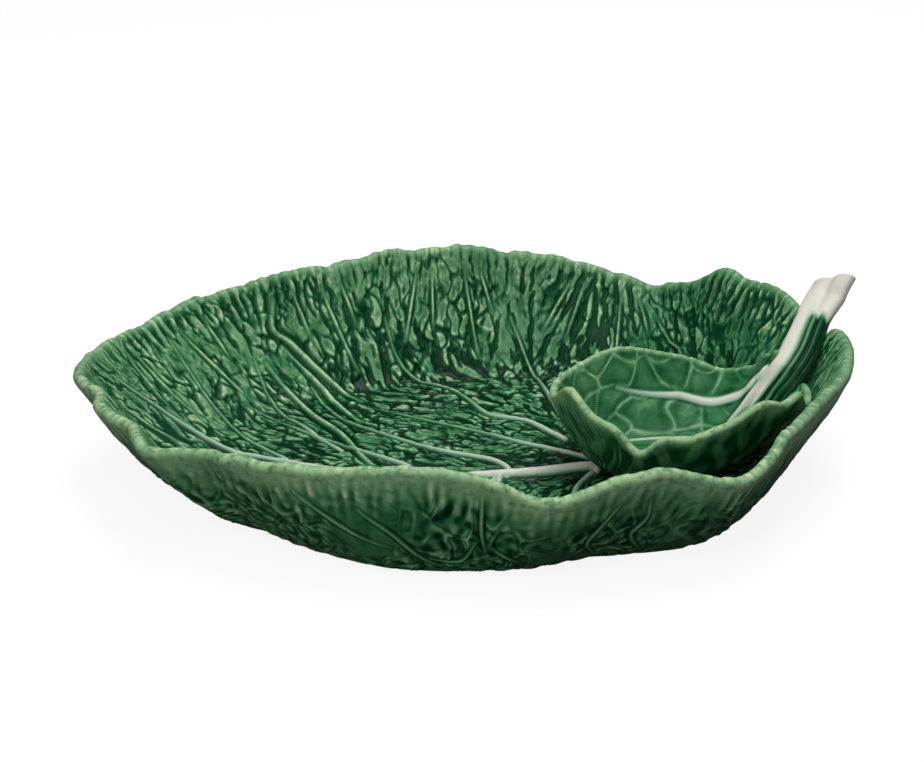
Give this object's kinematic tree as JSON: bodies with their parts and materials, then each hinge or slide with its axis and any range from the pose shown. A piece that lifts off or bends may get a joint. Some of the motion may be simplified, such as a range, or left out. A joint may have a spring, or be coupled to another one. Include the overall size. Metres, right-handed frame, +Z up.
{
  "type": "chip and dip platter",
  "caption": "Oval glazed leaf-shaped serving platter with a wavy rim, a cupped dip leaf set inside one end and a pale channelled stalk rising over the rim.",
  "frame": {"origin": "on the table under the middle of the whole platter's plan", "axes": "+X along the platter towards its stalk end, +Y across it away from the viewer of the picture, +Z up"},
  "size_m": [0.4032, 0.3238, 0.0869],
  "materials": {
    "green_glaze": "glossy translucent green glaze over moulded leaf relief",
    "dip_leaf_glaze": "glossy lighter green glaze",
    "cream_glaze": "satin cream glaze running into green",
    "green_slip": "glazed slip seam",
    "bare_clay": "unglazed fired clay"
  },
  "bodies": {
    "root": {"platter_leaf": "green_glaze", "platter_foot_ring": "bare_clay", "dip_leaf": "dip_leaf_glaze", "dip_foot_ring": "green_slip", "stalk": "cream_glaze", "stalk_saddle": "green_slip"}
  },
  "joints": []
}
